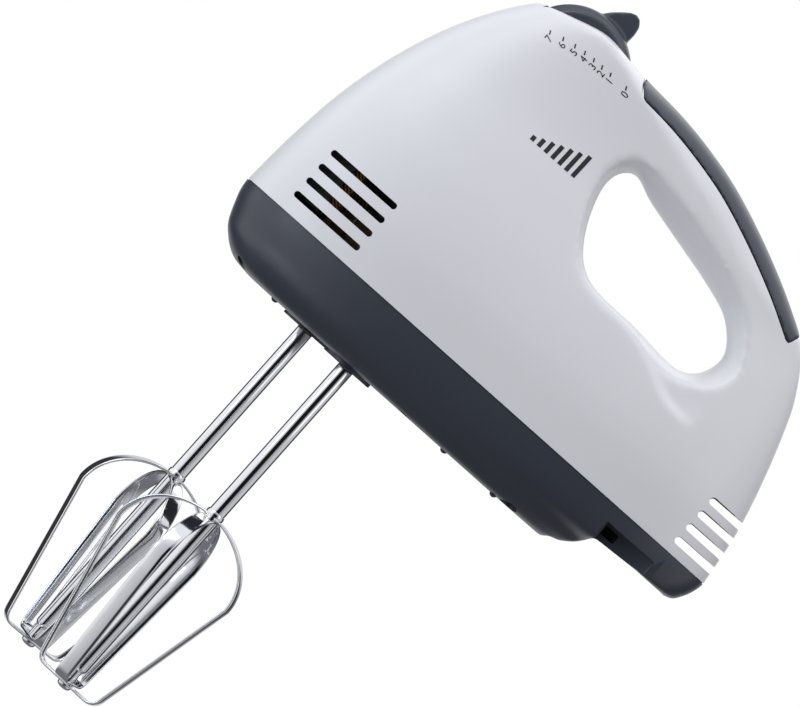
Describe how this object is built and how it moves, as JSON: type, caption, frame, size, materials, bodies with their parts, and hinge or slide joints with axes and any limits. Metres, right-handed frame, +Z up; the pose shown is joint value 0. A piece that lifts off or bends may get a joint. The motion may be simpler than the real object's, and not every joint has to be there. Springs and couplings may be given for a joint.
{
  "type": "hand mixer",
  "caption": "Electric hand mixer with a looped grip, a thumb-turned speed dial on top and a pair of chromed wire-strip beaters that turn together and pull out downwards.",
  "frame": {"origin": "middle of the flat underside of the base, halfway between the two beater sockets", "axes": "+X to the rear, +Z up, -Y to the side that carries the speed marks; the beaters point to -Z"},
  "size_m": [0.1967, 0.0833, 0.2843],
  "materials": {
    "white_plastic": "moulded, satin gloss",
    "grey_plastic": "moulded, satin gloss",
    "black_plastic": "matte",
    "gear_plastic": "matte nylon",
    "chrome_steel": "chrome plated",
    "zinc_screws": "zinc plated",
    "steel_parts": "bright drawn",
    "lamination_steel": "stacked sheet",
    "copper": "enamelled wire",
    "bronze": "sintered",
    "carbon": "dull"
  },
  "bodies": {
    "housing": {"shell_left": "white_plastic", "shell_right": "white_plastic", "grip_strip": "grey_plastic", "base_cover": "grey_plastic", "shell_screws": "zinc_screws", "base_screws": "zinc_screws", "drive_frame": "black_plastic", "front_motor_bush": "bronze", "rear_motor_bush": "bronze", "lower_gear_bush_near": "bronze", "upper_gear_bush_near": "bronze", "lower_gear_bush_far": "bronze", "upper_gear_bush_far": "bronze", "stator_core": "lamination_steel", "field_coils": "copper", "brush_carrier": "black_plastic", "carbon_brushes": "carbon", "brush_springs": "steel_parts", "slide_guide": "black_plastic", "eject_spring": "steel_parts", "speed_switch_board": "black_plastic", "speed_switch_contacts": "bronze", "terminal_block": "black_plastic", "cord_clamp": "black_plastic"},
    "armature": {"motor_shaft": "steel_parts", "armature_core": "lamination_steel", "armature_windings": "copper", "commutator": "copper", "worm": "steel_parts", "cooling_fan": "black_plastic"},
    "gear_near": {"drive_gear_near": "gear_plastic"},
    "gear_far": {"drive_gear_far": "gear_plastic"},
    "eject_slide": {"eject_yoke": "black_plastic", "dial_pin": "steel_parts"},
    "speed_dial": {"speed_dial": "grey_plastic"},
    "beater_near": {"beater_shank_near": "chrome_steel", "beater_outer_loop_near": "chrome_steel", "beater_inner_loop_near": "chrome_steel", "beater_ferrule_near": "chrome_steel", "beater_rivet_near": "chrome_steel"},
    "beater_far": {"beater_shank_far": "chrome_steel", "beater_outer_loop_far": "chrome_steel", "beater_inner_loop_far": "chrome_steel", "beater_ferrule_far": "chrome_steel", "beater_rivet_far": "chrome_steel"}
  },
  "joints": [
    {"name": "motor_spin", "type": "hinge", "parent": "housing", "child": "armature", "pos_m": [0, 0, 0.044], "axis": [1, 0, 0], "continuous": true},
    {"name": "gear_near_spin", "type": "hinge", "parent": "housing", "child": "gear_near", "pos_m": [0.01, -0.0185, 0.044], "axis": [0, 0, 1], "continuous": true},
    {"name": "gear_far_spin", "type": "hinge", "parent": "housing", "child": "gear_far", "pos_m": [-0.01, 0.0185, 0.044], "axis": [0, 0, 1], "continuous": true},
    {"name": "beater_near_pull", "type": "slide", "parent": "gear_near", "child": "beater_near", "axis": [0, 0, -1], "range_m": [0, 0.06]},
    {"name": "beater_far_pull", "type": "slide", "parent": "gear_far", "child": "beater_far", "axis": [0, 0, -1], "range_m": [0, 0.06]},
    {"name": "eject_press", "type": "slide", "parent": "housing", "child": "eject_slide", "axis": [0, 0, -1], "range_m": [0, 0.004], "stiffness_N_per_m": 2500, "springref_m": -0.002, "deforming": ["eject_spring"]},
    {"name": "dial_turn", "type": "hinge", "parent": "eject_slide", "child": "speed_dial", "pos_m": [-0.002, 0, 0.119], "axis": [0, -1, 0], "range_deg": [0, 42]}
  ],
  "couplings": [
    {"joint": "gear_near_spin", "follows": "motor_spin", "ratio": 0.035714},
    {"joint": "gear_far_spin", "follows": "motor_spin", "ratio": -0.035714}
  ]
}
